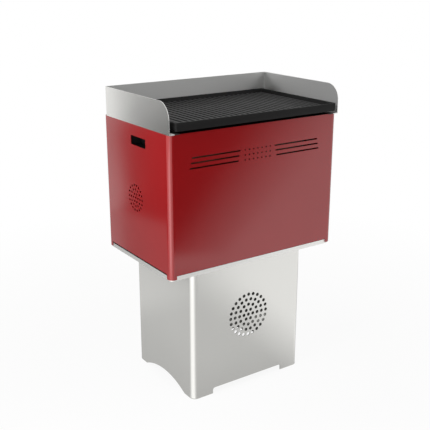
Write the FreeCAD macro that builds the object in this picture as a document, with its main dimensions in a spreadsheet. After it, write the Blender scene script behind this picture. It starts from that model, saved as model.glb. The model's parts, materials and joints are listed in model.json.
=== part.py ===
import FreeCAD, Part
import os
import Sketcher
from types import SimpleNamespace

# Portable pellet grill on a sheet pedestal, in millimetres: X to the right, Y to the rear, Z up.
# The floor is at Z = 0, and the casing's middle stands on the Z axis.
SIZES = [
    ("box_width", 600, "casing: outside width"),
    ("box_depth", 378, "casing: outside depth"),
    ("shell_height", 405, "casing: height of the red panels"),
    ("shell_sheet", 1.5, "casing: sheet"),
    ("shell_bend", 15, "casing: outside bend of the corners"),
    ("shell_gap", 1.5, "casing: red edge above the pedestal tray"),
    ("side_lift", 3.5, "casing: lower edge of the sides above that of the front"),
    ("rear_return", 34, "casing: width of the returns at the rear"),
    ("foot_drop", 11.5, "casing: corner feet below the red edge"),
    ("foot_run", 21, "casing: corner feet along each face"),
    ("panel_sheet", 1.5, "casing: rear panel sheet"),
    ("base_sheet", 1.5, "casing: base plate"),
    ("frame_width", 28, "casing: top frame width"),
    ("frame_sheet", 1.5, "casing: top frame sheet"),
    ("grip_length", 85, "hand hole: length"),
    ("grip_height", 27, "hand hole: height"),
    ("grip_forward", 21.5, "hand hole: middle ahead of the casing's middle"),
    ("grip_drop", 33, "hand hole: upper edge below the red panel's top"),
    ("pocket_depth", 38, "grip pocket: depth behind the panel"),
    ("pocket_margin", 6, "grip pocket: room round the hand hole"),
    ("pocket_sheet", 1.5, "grip pocket: sheet"),
    ("slot_length", 165, "front slots: length"),
    ("slot_height", 4.4, "front slots: height"),
    ("slot_pitch", 14.7, "front slots: distance of the rows"),
    ("slot_inner", 61, "front slots: inner end of the top row"),
    ("slot_step", 3.5, "front slots: outward step of each lower row"),
    ("slot_drop", 71, "front slots: top row below the red panel's top"),
    ("dot_size", 5, "front holes: diameter"),
    ("dot_pitch", 15, "front holes: distance"),
    ("vent_hole", 7, "side vent: hole diameter"),
    ("vent_ring", 12.8, "side vent: distance of the rings of holes"),
    ("vent_rise", 187, "side vent: middle above the red edge"),
    ("vent_back", 3, "side vent: middle behind the casing's middle"),
    ("pedestal_height", 440, "pedestal: floor to tray top"),
    ("pedestal_side", 92, "pedestal: set in from the casing's side"),
    ("pedestal_front", 34, "pedestal: set in from the casing's front"),
    ("pedestal_rear", 5.5, "pedestal: set in from the casing's rear"),
    ("pedestal_sheet", 2, "pedestal: sheet"),
    ("pedestal_bend", 19, "pedestal: outside bend of the corners"),
    ("pedestal_return", 42, "pedestal: width of the returns at the rear"),
    ("pedestal_flange", 28, "pedestal: width of the flanges under the tray"),
    ("notch_width", 268, "pedestal: width of the notch at the floor"),
    ("notch_height", 19.5, "pedestal: height of the notch"),
    ("notch_corner", 8, "pedestal: corner radius of the notch"),
    ("arch_width", 240, "pedestal: width of the side arch at the floor"),
    ("arch_rise", 29.5, "pedestal: rise of the side arch"),
    ("grille_hole", 11, "pedestal vent: hole diameter"),
    ("grille_ring", 17, "pedestal vent: distance of the rings of holes"),
    ("grille_height", 237, "pedestal vent: middle above the floor"),
    ("tray_depth", 13.5, "tray: height of its folded edge"),
    ("tray_sheet", 2, "tray: sheet"),
    ("tray_clearance", 1, "tray: clearance to the casing's corner feet"),
    ("guard_height", 87.5, "splash guard: height"),
    ("guard_sheet", 2, "splash guard: sheet"),
    ("guard_overhang", 0.5, "splash guard: wings outside the casing's sides"),
    ("guard_reach", 5.5, "splash guard: wings ahead of the casing's front"),
    ("guard_inset", 16, "splash guard: back wall ahead of the casing's rear"),
    ("guard_corner", 48, "splash guard: radius of the wings' front corners"),
    ("guard_bend", 4, "splash guard: outside bend at the rear corners"),
    ("guard_flange", 32, "splash guard: width of the foot flange"),
    ("griddle_reach", 14.5, "griddle: front face ahead of the casing's front"),
    ("griddle_side_gap", 14.5, "griddle: gap to each wing"),
    ("griddle_back_gap", 6, "griddle: gap to the guard's back wall"),
    ("griddle_height", 23.5, "griddle: height"),
    ("griddle_rim", 6, "griddle: rim thickness"),
    ("griddle_corner", 2.5, "griddle: corner radius"),
    ("griddle_floor", 5, "griddle: plate thickness under the ribs"),
    ("rib_drop", 9.5, "griddle: rib tops below the rim"),
    ("rib_height", 3.5, "griddle: rib height"),
    ("rib_width", 9, "griddle: rib width"),
    ("rib_count", 29, "griddle: number of ribs"),
    ("rib_gutter", 9, "griddle: gutter between ribs and rim"),
    ("rail_height", 8.5, "griddle rail: height"),
    ("rail_width", 10, "griddle rail: width"),
    ("rail_inset", 1, "griddle rail: set in from the griddle's end"),
    ("rail_setback", 40, "griddle rail: set back from the griddle's front and rear"),
    ("firebox_side_gap", 86, "firebox: air gap to the casing's sides"),
    ("firebox_front_gap", 45, "firebox: air gap to the casing's front"),
    ("firebox_sheet", 2, "firebox: plate thickness"),
    ("firebox_drop", 14, "firebox: top edge below the red panel's top"),
    ("hopper_depth", 105, "hopper: firebox to rear panel"),
    ("hopper_width", 220, "hopper: inside width"),
    ("hopper_sheet", 2, "hopper: sheet"),
    ("cheek_lap", 8, "hopper: cheeks below the feed sill"),
    ("hopper_slope", 0.9, "hopper: rise of the floor for each unit of depth"),
    ("cover_rise", 12, "hopper: cover above the fuel mouth"),
    ("feed_drop", 52, "feed: sill above the burner shelf"),
    ("feed_width", 90, "feed: width"),
    ("feed_height", 60, "feed: height of the opening"),
    ("chute_wall", 28, "feed chute: cheek height"),
    ("chute_lap", 8, "feed chute: reach over the pot"),
    ("chute_lift", 6, "feed chute: lower end above the pot's rim"),
    ("pot_radius", 55, "burn pot: outside radius"),
    ("pot_depth", 70, "burn pot: depth below the shelf"),
    ("pot_sheet", 2, "burn pot: wall"),
    ("pot_rim", 12, "burn pot: width of the rim"),
    ("pot_clearance", 12, "burn pot: grate above the ash drawer"),
    ("pot_hole", 8, "burn pot: air hole diameter"),
    ("grate_ring", 18.5, "burn pot: distance of the rings of grate holes"),
    ("shelf_sheet", 2, "burner shelf: plate"),
    ("ledge_width", 16, "burner shelf: ledge width"),
    ("spreader_length", 260, "flame spreader: length"),
    ("spreader_width", 150, "flame spreader: width"),
    ("spreader_sheet", 3, "flame spreader: plate"),
    ("spreader_drop", 60, "flame spreader: below the red panel's top"),
    ("spreader_leg", 10, "flame spreader: leg diameter"),
    ("spreader_inset", 15, "flame spreader: legs in from its edges"),
    ("drawer_width", 220, "ash drawer: outside width"),
    ("drawer_height", 50, "ash drawer: height"),
    ("drawer_length", 300, "ash drawer: length"),
    ("drawer_sheet", 1.5, "ash drawer: sheet"),
    ("drawer_clearance", 2, "ash drawer: clearance in its openings"),
    ("runner_height", 6.5, "drawer runner: height"),
    ("runner_width", 12, "drawer runner: width"),
    ("face_lap", 12, "drawer face, flap and shutter: lap over the opening"),
    ("face_gap", 0.3, "drawer face, flap and shutter: gap to the rear panel"),
    ("face_sheet", 1.5, "drawer face, flap and shutter: sheet"),
    ("pull_width", 110, "drawer pull: width"),
    ("pull_height", 20, "drawer pull: height of its flange"),
    ("pull_drop", 8, "drawer pull: lip below the tray's upper edge"),
    ("pull_lip", 7, "drawer pull: turned-down edge"),
    ("pull_screw_pitch", 77, "drawer pull: distance of its screws"),
    ("pull_screw_drop", 12.5, "drawer pull: screws below its top"),
    ("pull_reach", 14.5, "pull and knobs: reach behind the casing's rear"),
    ("mouth_width", 190, "fuel mouth: width"),
    ("mouth_height", 66, "fuel mouth: height"),
    ("mouth_sill", 6, "fuel mouth: lower edge above the hopper floor"),
    ("knuckle_radius", 3.5, "flap hinge: knuckle outside radius"),
    ("pin_radius", 2, "flap hinge: pin radius"),
    ("pin_clearance", 0.05, "flap hinge: clearance round the pin"),
    ("knuckle_gap", 0.6, "flap hinge: gap between knuckles"),
    ("leaf_height", 24, "flap hinge: height of the fixed leaf"),
    ("leaf_rivet_pitch", 80, "flap hinge: distance of the rivets"),
    ("knob_radius", 9, "knobs: radius"),
    ("knob_neck", 4, "knobs: neck radius and length"),
    ("air_slot_width", 12, "air shutter: slot width"),
    ("air_slot_height", 34, "air shutter: slot height"),
    ("air_slot_pitch", 28, "air shutter: slot distance"),
    ("air_rise", 58, "air shutter: middle above the ash drawer"),
    ("shutter_edge", 10, "air shutter: plate above and below the slots"),
    ("shutter_end", 24, "air shutter: plate beside the slots"),
    ("shutter_travel", 14, "air shutter: travel"),
    ("guide_grip", 5, "shutter guide: lip over the plate"),
    ("guide_width", 8, "shutter guide: width on the panel"),
    ("guide_sheet", 1.5, "shutter guide: lip sheet"),
    ("screw_size", 4, "screws: shank diameter"),
    ("screw_head", 8, "screws: head diameter"),
    ("screw_rise", 2.6, "screws: head height"),
    ("screw_play", 0.25, "screws: clearance in the sheets"),
    ("screw_tip", 4, "screws: length past the last sheet"),
    ("screw_margin", 28, "screws: first screw from the panel's end"),
    ("foot_screw_margin", 56, "screws: first screw of the pedestal from its ends"),
    ("sheet_play", 0.5, "sheets: room beside a bend"),
    ("guard_screw_pitch", 130, "screws: distance on the guard's flange"),
    ("stud_size", 6, "tray studs: diameter"),
    ("stud_head", 11, "tray studs: head diameter"),
    ("stud_sink", 1.2, "tray studs: head height, flush in the tray"),
    ("stud_pitch", 180, "tray studs: distance from front to rear"),
    ("nut_radius", 5.8, "tray nuts: corner radius"),
    ("nut_height", 5, "tray nuts: height"),
]
SLOT_ROWS = 3
DOTS_PER_ROW = 7
VENT_RINGS = ((1, 6), (2, 12), (3, 18))
GRILLE_RINGS = ((1, 6), (2, 12), (3, 18), (4, 24))
GRATE_RINGS = ((1, 6), (2, 12))
POT_HOLES = 12
PANEL_SCREWS = 4
AIR_SLOTS = 5
KNUCKLES = 5
SIDES = (("left", -1), ("right", 1))
# How far a cut runs past its piece, how near is the same place, and the cosines of lying along an axis
# and of leaning towards it
PAST = 1.0
SAME = 0.01
ALONG = 0.9
TOWARDS = 0.5

doc = FreeCAD.newDocument("pellet_grill")
dims = doc.addObject("Spreadsheet::Sheet", "dims")
for row, (alias, number, note) in enumerate(SIZES, 1):
    dims.set(f"A{row}", note)
    dims.set(f"B{row}", str(number))
    dims.setAlias(f"B{row}", alias)
doc.recompute()


class Size:
    """A length with its present number and its formula on the sheet."""

    def __init__(self, number, formula):
        self.number = number
        self.formula = formula

    def __add__(self, other):
        other = as_size(other)
        return Size(self.number + other.number, f"({self.formula} + {other.formula})")

    def __sub__(self, other):
        other = as_size(other)
        return Size(self.number - other.number, f"({self.formula} - {other.formula})")

    def __mul__(self, other):
        other = as_size(other)
        return Size(self.number * other.number, f"({self.formula} * {other.formula})")

    def __truediv__(self, other):
        other = as_size(other)
        return Size(self.number / other.number, f"({self.formula} / {other.formula})")

    def __radd__(self, other):
        return as_size(other) + self

    def __rsub__(self, other):
        return as_size(other) - self

    def __rmul__(self, other):
        return as_size(other) * self

    def __neg__(self):
        return as_size(0) - self


def as_size(value):
    if isinstance(value, Size):
        return value
    return Size(float(value), f"({float(value)})")


d = SimpleNamespace(**{alias: Size(float(dims.get(alias)), f"dims.{alias}") for alias, _, _ in SIZES})


# Ways of making a sub-part

def new_body(label):
    body = doc.addObject("PartDesign::Body", label)
    body.Label = label
    return body


def bind(feature, path, value):
    feature.setExpression(path, as_size(value).formula)


def place(feature, corner):
    for axis, value in zip("xyz", corner):
        bind(feature, f"Placement.Base.{axis}", value)


def block(body, name, x, y, z, cut=False):
    """A box between two limits on each axis, added or cut away."""
    kind = "Subtractive" if cut else "Additive"
    feature = body.newObject(f"PartDesign::{kind}Box", name)
    for side, (low, high) in zip(("Length", "Width", "Height"), (x, y, z)):
        bind(feature, side, as_size(high) - low)
    place(feature, (x[0], y[0], z[0]))
    return feature


TURNS = {
    "X": FreeCAD.Rotation(FreeCAD.Vector(0, 1, 0), 90),
    "Y": FreeCAD.Rotation(FreeCAD.Vector(1, 0, 0), -90),
    "Z": FreeCAD.Rotation(),
}


def rod(body, name, axis, start, length, radius, cut=False):
    """A cylinder that runs along an axis from its start, added or cut away."""
    kind = "Subtractive" if cut else "Additive"
    feature = body.newObject(f"PartDesign::{kind}Cylinder", name)
    feature.Placement = FreeCAD.Placement(FreeCAD.Vector(), TURNS[axis])
    bind(feature, "Radius", radius)
    bind(feature, "Height", length)
    place(feature, start)
    return feature


def both_ways(half):
    """Limits that lie as far on either side of zero."""
    return (-half, half)


def span(sign, near, far):
    """The limits from near to far on the side that the sign gives, lower limit first."""
    limits = (as_size(sign) * near, as_size(sign) * far)
    return sorted(limits, key=lambda size: size.number)


def origin(body, role):
    return next(item for item in body.Origin.OriginFeatures if item.Role == role)


def upright(edge):
    return abs(edge.tangentAt(edge.FirstParameter).z) > ALONG


def faces_where(shape, wanted):
    """Names of the faces whose middle normal is as wanted."""
    names = []
    for index, face in enumerate(shape.Faces, 1):
        u_low, u_high, v_low, v_high = face.ParameterRange
        if wanted(face.normalAt((u_low + u_high) / 2, (v_low + v_high) / 2)):
            names.append(f"Face{index}")
    return names


def round_off(body, name, radius, wanted):
    """Round the edges of the body's last feature that are wanted."""
    doc.recompute()
    base = body.Tip
    edges = [f"Edge{index}" for index, edge in enumerate(base.Shape.Edges, 1) if wanted(edge)]
    feature = body.newObject("PartDesign::Fillet", name)
    feature.Base = (base, edges)
    bind(feature, "Radius", radius)
    return feature


def skin(body, name, sheet, open_faces):
    """Hollow the body's last feature to a sheet, open at the wanted faces."""
    doc.recompute()
    base = body.Tip
    feature = body.newObject("PartDesign::Thickness", name)
    feature.Base = (base, faces_where(base.Shape, open_faces))
    feature.Reversed = True
    bind(feature, "Value", sheet)
    return feature


def sketch_on(body, name, plane, across=0, up=0):
    """A sketch on one of the body's planes, with its own zero moved across and up."""
    sketch = body.newObject("Sketcher::SketchObject", name)
    sketch.AttachmentSupport = [(origin(body, plane), "")]
    sketch.MapMode = "FlatFace"
    bind(sketch, "AttachmentOffset.Base.x", across)
    bind(sketch, "AttachmentOffset.Base.y", up)
    return sketch


def hold(sketch, kind, value, *geometry):
    """A constraint whose value follows the sheet."""
    index = sketch.addConstraint(Sketcher.Constraint(kind, *geometry, as_size(value).number))
    bind(sketch, f"Constraints[{index}]", value)


def draw_circle(sketch, across, up, radius):
    centre = FreeCAD.Vector(as_size(across).number, as_size(up).number, 0)
    circle = sketch.addGeometry(Part.Circle(centre, FreeCAD.Vector(0, 0, 1), radius.number))
    hold(sketch, "DistanceX", across, -1, 1, circle, 3)
    hold(sketch, "DistanceY", up, -1, 1, circle, 3)
    hold(sketch, "Radius", radius, circle)


def draw_slot(sketch, start, length, up, height):
    """A level slot with round ends."""
    radius = height / 2
    ends = (start + radius, start + length - radius)
    low, high = (FreeCAD.Vector(end.number, up.number, 0) for end in ends)
    rise = FreeCAD.Vector(0, radius.number, 0)
    sideways = FreeCAD.Vector(radius.number, 0, 0)
    top = sketch.addGeometry(Part.LineSegment(low + rise, high + rise))
    bottom = sketch.addGeometry(Part.LineSegment(high - rise, low - rise))
    right = sketch.addGeometry(Part.Arc(high - rise, high + sideways, high + rise))
    left = sketch.addGeometry(Part.Arc(low + rise, low - sideways, low - rise))
    for line, line_end, arc, arc_end in ((top, 2, right, 2), (bottom, 1, right, 1),
                                         (bottom, 2, left, 2), (top, 1, left, 1)):
        sketch.addConstraint(Sketcher.Constraint("Tangent", line, line_end, arc, arc_end))
    sketch.addConstraint(Sketcher.Constraint("Equal", right, left))
    hold(sketch, "Radius", radius, right)
    for arc, end in ((right, ends[1]), (left, ends[0])):
        hold(sketch, "DistanceX", end, -1, 1, arc, 3)
        hold(sketch, "DistanceY", up, -1, 1, arc, 3)


def draw_outline(sketch, points):
    """A closed outline of straight lines through points that follow the sheet."""
    corners = [FreeCAD.Vector(as_size(a).number, as_size(b).number, 0) for a, b in points]
    lines = []
    for index, corner in enumerate(corners):
        following = corners[(index + 1) % len(corners)]
        lines.append(sketch.addGeometry(Part.LineSegment(corner, following)))
    for index, line in enumerate(lines):
        following = lines[(index + 1) % len(lines)]
        sketch.addConstraint(Sketcher.Constraint("Coincident", line, 2, following, 1))
    for line, (across, up) in zip(lines, points):
        hold(sketch, "DistanceX", across, -1, 1, line, 1)
        hold(sketch, "DistanceY", up, -1, 1, line, 1)


def cut_through(body, name, sketch):
    """Cut a sketch through the body, both ways from its plane."""
    pocket = body.newObject("PartDesign::Pocket", name)
    pocket.Profile = sketch
    pocket.Type = "ThroughAll"
    pocket.SideType = "Symmetric"
    return pocket


def prism(body, name, points, width, cut=False):
    """An outline in Y and Z, as wide as given, with its middle at X = 0."""
    sketch = sketch_on(body, f"{name}_outline", "YZ_Plane")
    draw_outline(sketch, points)
    feature = body.newObject("PartDesign::Pocket" if cut else "PartDesign::Pad", name)
    feature.Profile = sketch
    feature.SideType = "Symmetric"
    bind(feature, "Length", width)
    return feature


def ring_pattern(body, name, feature, axis, count):
    pattern = body.newObject("PartDesign::PolarPattern", name)
    pattern.Originals = [feature]
    pattern.Axis = axis
    pattern.Angle = 360
    pattern.Occurrences = count
    body.Tip = pattern
    return pattern


def round_vent(body, name, plane, across, up, hole, ring, rings):
    """Holes in rings about a middle hole, cut through a sheet."""
    middle = sketch_on(body, f"{name}_middle_outline", plane, across, up)
    draw_circle(middle, 0, 0, hole / 2)
    cut_through(body, f"{name}_middle", middle)
    for index, count in rings:
        outline = sketch_on(body, f"{name}_ring{index}_outline", plane, across, up)
        draw_circle(outline, ring * index, 0, hole / 2)
        first = cut_through(body, f"{name}_ring{index}", outline)
        ring_pattern(body, f"{name}_ring{index}_all", first, (outline, ["N_Axis"]), count)


def fasten(group, pierced, name, axis, seat, grip):
    """A screw or rivet whose head stands on a seat, with its hole in the sheets that it goes through."""
    x, y, z = seat
    shank = d.screw_size / 2
    length = as_size(grip) + d.screw_tip
    back = {"Y": (x, y - length, z), "Z": (x, y, z - length)}[axis]
    rod(group, f"{name}_head", axis, seat, d.screw_rise, d.screw_head / 2)
    rod(group, f"{name}_shank", axis, back, length, shank)
    for body in pierced:
        rod(body, f"{name}_hole", axis, back, length, shank + d.screw_play, cut=True)


def knob(label, x, z):
    """A round knob with a neck, on the outside of a plate behind the casing."""
    body = new_body(label)
    neck_end = face_out + d.knob_neck
    rod(body, "neck", "Y", (x, face_out, z), d.knob_neck, d.knob_neck)
    rod(body, "cap", "Y", (x, neck_end, z), pull_end - neck_end, d.knob_radius)

    def rim_of_the_cap(edge):
        return isinstance(edge.Curve, Part.Circle) and abs(edge.Curve.Radius - d.knob_radius.number) < SAME

    round_off(body, "soft_edges", d.knob_neck / 3, rim_of_the_cap)
    return body


# Levels and faces that several pieces share
half_x = d.box_width / 2
half_y = d.box_depth / 2
inner_x = half_x - d.shell_sheet
inner_y = half_y - d.shell_sheet
panel_out = inner_y
panel_in = panel_out - d.panel_sheet
tray_top = d.pedestal_height
base_top = tray_top + d.base_sheet
shell_low = tray_top + d.shell_gap
shell_top = shell_low + d.shell_height
foot_low = shell_low - d.foot_drop

wing_out = half_x + d.guard_overhang
wing_in = wing_out - d.guard_sheet
guard_front = -(half_y + d.guard_reach)
guard_back = half_y - d.guard_inset
guard_floor = shell_top + d.guard_sheet
guard_top = shell_top + d.guard_height
griddle_end = wing_in - d.griddle_side_gap
griddle_front = -(half_y + d.griddle_reach)
griddle_back = guard_back - d.guard_sheet - d.griddle_back_gap
griddle_low = guard_floor + d.rail_height
griddle_top = griddle_low + d.griddle_height

wall_x = inner_x - d.firebox_side_gap
wall_in = wall_x - d.firebox_sheet
wall_front = -(inner_y - d.firebox_front_gap)
wall_front_in = wall_front + d.firebox_sheet
wall_rear = panel_in - d.hopper_depth
wall_rear_in = wall_rear - d.firebox_sheet
wall_top = shell_top - d.firebox_drop

drawer_low = base_top + d.runner_height
drawer_top = drawer_low + d.drawer_height
drawer_x = d.drawer_width / 2
drawer_hole = drawer_x + d.drawer_clearance
pot_low = drawer_top + d.pot_clearance
pot_y = (wall_front_in + wall_rear_in) / 2
shelf_top = pot_low + d.pot_depth
shelf_low = shelf_top - d.shelf_sheet
feed_sill = shelf_top + d.feed_drop
hopper_x = d.hopper_width / 2
hopper_sill = feed_sill + d.hopper_depth * d.hopper_slope
spreader_low = shell_top - d.spreader_drop

face_in = panel_out + d.face_gap
face_out = face_in + d.face_sheet
pull_end = half_y + d.pull_reach
mouth_low = hopper_sill + d.mouth_sill
mouth_top = mouth_low + d.mouth_height
cover_low = mouth_top + d.cover_rise
hinge_y = face_in + d.knuckle_radius
hinge_z = mouth_top + d.face_lap + d.knuckle_radius
air_z = drawer_top + d.air_rise
air_span = d.air_slot_pitch * (AIR_SLOTS - 1) + d.air_slot_width
shutter_x = air_span / 2 + d.shutter_end
shutter_z = d.air_slot_height / 2 + d.shutter_edge

foot_x = half_x - d.pedestal_side
foot_front = -(half_y - d.pedestal_front)
foot_rear = half_y - d.pedestal_rear
foot_y = (foot_front + foot_rear) / 2
wrap_top = tray_top - d.tray_sheet
stud_x = foot_x - d.pedestal_flange / 2 - d.pedestal_sheet / 2


# Pedestal

def floor_notch(body, y):
    """The low opening at the floor, with round upper corners."""
    block(body, "notch", both_ways(d.notch_width / 2), y, (-PAST, d.notch_height), cut=True)
    corner_x = d.notch_width.number / 2
    corner_z = d.notch_height.number

    def upper_corner(edge):
        middle = edge.CenterOfMass
        along_y = abs(edge.tangentAt(edge.FirstParameter).y) > ALONG
        return along_y and abs(abs(middle.x) - corner_x) < SAME and abs(middle.z - corner_z) < SAME

    round_off(body, "notch_corners", d.notch_corner, upper_corner)


wrap = new_body("pedestal_wrap")
block(wrap, "blank", both_ways(foot_x), (foot_front, foot_rear), (0, wrap_top))
round_off(wrap, "bends", d.pedestal_bend, upright)
skin(wrap, "sheet", d.pedestal_sheet, lambda normal: abs(normal.z) > ALONG)
wrap_opening = foot_x - d.pedestal_return
block(wrap, "rear_opening", both_ways(wrap_opening),
      (foot_rear - d.pedestal_sheet - PAST, foot_rear + PAST), (-PAST, wrap_top + PAST), cut=True)
for side, sign in SIDES:
    reach = span(sign, foot_x - d.pedestal_sheet / 2, foot_x - d.pedestal_flange)
    block(wrap, f"flange_{side}", reach, (foot_front + d.pedestal_bend, foot_rear - d.pedestal_bend),
          (wrap_top - d.pedestal_sheet, wrap_top))
floor_notch(wrap, (foot_front - PAST, foot_front + d.pedestal_sheet + PAST))
arch_radius = (d.arch_width * d.arch_width / 4 + d.arch_rise * d.arch_rise) / (2 * d.arch_rise)
arch_z = d.arch_rise - arch_radius
rod(wrap, "side_arches", "X", (-half_x, foot_y, arch_z), d.box_width, arch_radius, cut=True)

foot_panel = new_body("pedestal_rear_panel")
foot_panel_x = foot_x - d.pedestal_bend - d.sheet_play
foot_panel_y = (foot_rear - 2 * d.pedestal_sheet, foot_rear - d.pedestal_sheet)
block(foot_panel, "plate", both_ways(foot_panel_x), foot_panel_y, (0, wrap_top))
floor_notch(foot_panel, (foot_rear - 3 * d.pedestal_sheet, foot_rear))

foot_screws = new_body("pedestal_rear_screws")
foot_screw_x = (wrap_opening + foot_panel_x) / 2
foot_screw_rows = (d.foot_screw_margin, wrap_top / 2, wrap_top - d.foot_screw_margin)
for side, sign in SIDES:
    for index, z in enumerate(foot_screw_rows):
        fasten(foot_screws, (wrap, foot_panel), f"{side}_{index}", "Y", (sign * foot_screw_x, foot_rear, z),
               2 * d.pedestal_sheet)

tray = new_body("pedestal_tray")
tray_x = inner_x - d.tray_clearance
tray_y = inner_y - d.tray_clearance
block(tray, "blank", both_ways(tray_x), both_ways(tray_y), (tray_top - d.tray_depth, tray_top))
round_off(tray, "bends", d.shell_bend - d.shell_sheet - d.tray_clearance, upright)
skin(tray, "sheet", d.tray_sheet, lambda normal: normal.z < -ALONG)

studs = new_body("tray_studs")
nuts = new_body("tray_nuts")
nut_top = wrap_top - d.pedestal_sheet
stud_end = nut_top - d.nut_height - d.stud_sink
for side, sign in SIDES:
    for end, step in (("front", -1), ("rear", 1)):
        x = sign * stud_x
        y = foot_y + step * d.stud_pitch / 2
        head_low = tray_top - d.stud_sink
        name = f"{side}_{end}"
        play = d.screw_play
        rod(studs, f"{name}_head", "Z", (x, y, head_low), d.stud_sink, d.stud_head / 2)
        rod(studs, f"{name}_shank", "Z", (x, y, stud_end), head_low - stud_end, d.stud_size / 2)
        rod(tray, f"{name}_sink", "Z", (x, y, head_low), d.stud_sink, d.stud_head / 2 + play, cut=True)
        rod(tray, f"{name}_hole", "Z", (x, y, wrap_top), d.tray_sheet, d.stud_size / 2 + play, cut=True)
        rod(wrap, f"{name}_hole", "Z", (x, y, nut_top), d.pedestal_sheet, d.stud_size / 2 + play, cut=True)
        hexagon = nuts.newObject("PartDesign::AdditivePrism", f"{name}_nut")
        hexagon.Polygon = 6
        bind(hexagon, "Circumradius", d.nut_radius)
        bind(hexagon, "Height", d.nut_height)
        place(hexagon, (x, y, nut_top - d.nut_height))
        rod(nuts, f"{name}_thread", "Z", (x, y, nut_top - d.nut_height), d.nut_height,
            d.stud_size / 2 + d.pin_clearance, cut=True)
round_vent(wrap, "vent", "XZ_Plane", 0, d.grille_height, d.grille_hole, d.grille_ring, GRILLE_RINGS)


# Casing

shell = new_body("outer_shell")
block(shell, "blank", both_ways(half_x), both_ways(half_y), (foot_low, shell_top))
round_off(shell, "bends", d.shell_bend, upright)
skin(shell, "sheet", d.shell_sheet, lambda normal: abs(normal.z) > ALONG)
return_x = half_x - d.rear_return
block(shell, "rear_opening", both_ways(return_x), (inner_y - PAST, half_y + PAST),
      (foot_low - PAST, shell_top + PAST), cut=True)
foot_inner_x = half_x - d.foot_run
foot_inner_y = half_y - d.foot_run
block(shell, "between_side_feet", both_ways(half_x + PAST), both_ways(foot_inner_y),
      (foot_low - PAST, shell_low + d.side_lift), cut=True)
block(shell, "between_front_feet", both_ways(foot_inner_x), both_ways(half_y + PAST),
      (foot_low - PAST, shell_low), cut=True)
grip_y = (-d.grip_forward - d.grip_length / 2, -d.grip_forward + d.grip_length / 2)
grip_top = shell_top - d.grip_drop
grip_low = grip_top - d.grip_height
block(shell, "hand_holes", both_ways(half_x + PAST), grip_y, (grip_low, grip_top), cut=True)

panel = new_body("rear_panel")
panel_x = half_x - d.shell_bend - d.sheet_play
block(panel, "plate", both_ways(panel_x), (panel_in, panel_out), (shell_low, shell_top - d.frame_sheet))
panel_cut = (panel_in - PAST, panel_out + PAST)
block(panel, "drawer_opening", both_ways(drawer_hole), panel_cut,
      (drawer_low - d.drawer_clearance, drawer_top + d.drawer_clearance), cut=True)
block(panel, "fuel_mouth", both_ways(d.mouth_width / 2), panel_cut, (mouth_low, mouth_top), cut=True)


def air_slots(body, y):
    """The row of upright air slots, as wide in the panel as in the shutter."""
    for index in range(AIR_SLOTS):
        middle = d.air_slot_pitch * (index - (AIR_SLOTS - 1) / 2)
        block(body, f"air_slot_{index}", (middle - d.air_slot_width / 2, middle + d.air_slot_width / 2), y,
              (air_z - d.air_slot_height / 2, air_z + d.air_slot_height / 2), cut=True)


air_slots(panel, panel_cut)

panel_screws = new_body("rear_panel_screws")
panel_screw_x = (return_x + panel_x) / 2
panel_screw_low = shell_low + d.screw_margin
panel_screw_step = (d.shell_height - 2 * d.screw_margin) / (PANEL_SCREWS - 1)
for side, sign in SIDES:
    for index in range(PANEL_SCREWS):
        seat = (sign * panel_screw_x, half_y, panel_screw_low + panel_screw_step * index)
        fasten(panel_screws, (shell, panel), f"{side}_{index}", "Y", seat, d.shell_sheet + d.panel_sheet)

round_vent(shell, "side_vent", "YZ_Plane", d.vent_back, shell_low + d.vent_rise, d.vent_hole, d.vent_ring,
           VENT_RINGS)
dots = sketch_on(shell, "front_holes_outline", "XZ_Plane")
slots = sketch_on(shell, "front_slots_outline", "XZ_Plane")
for row in range(SLOT_ROWS):
    level = shell_top - d.slot_drop - d.slot_pitch * row
    draw_slot(slots, d.slot_inner + d.slot_step * row, d.slot_length, level, d.slot_height)
    for column in range(DOTS_PER_ROW):
        draw_circle(dots, d.dot_pitch * (column - (DOTS_PER_ROW - 1) / 2), level, d.dot_size / 2)
cut_through(shell, "front_holes", dots)
right_slots = cut_through(shell, "front_slots_right", slots)
left_slots = shell.newObject("PartDesign::Mirrored", "front_slots_left")
left_slots.Originals = [right_slots]
left_slots.MirrorPlane = (origin(shell, "YZ_Plane"), [""])
shell.Tip = left_slots

base = new_body("base_plate")
block(base, "blank", both_ways(inner_x), (-inner_y, panel_in), (tray_top, base_top))
round_off(base, "corners", d.shell_bend, upright)

frame = new_body("top_frame")
frame_z = (shell_top - d.frame_sheet, shell_top)
block(frame, "blank", both_ways(inner_x), both_ways(inner_y), frame_z)
round_off(frame, "corners", d.shell_bend, upright)
window_x = inner_x - d.frame_width
window_y = inner_y - d.frame_width
block(frame, "window", both_ways(window_x), both_ways(window_y),
      (shell_top - d.frame_sheet - PAST, shell_top + PAST), cut=True)

for side, sign in SIDES:
    pocket = new_body(f"grip_pocket_{side}")
    pocket_x = span(sign, inner_x, inner_x - d.pocket_depth)
    block(pocket, "blank", pocket_x, (grip_y[0] - d.pocket_margin, grip_y[1] + d.pocket_margin),
          (grip_low - d.pocket_margin, grip_top + d.pocket_margin))
    skin(pocket, "sheet", d.pocket_sheet, lambda normal, way=sign: normal.x * way > ALONG)


# Splash guard and griddle

guard = new_body("splash_guard")
block(guard, "blank", both_ways(wing_out), (guard_front, guard_back), (shell_top, guard_top))


def guard_rear_corner(edge):
    return upright(edge) and edge.CenterOfMass.y > 0


def guard_front_top(edge):
    middle = edge.CenterOfMass
    return middle.y < guard_front.number + SAME and middle.z > guard_top.number - SAME


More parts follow.
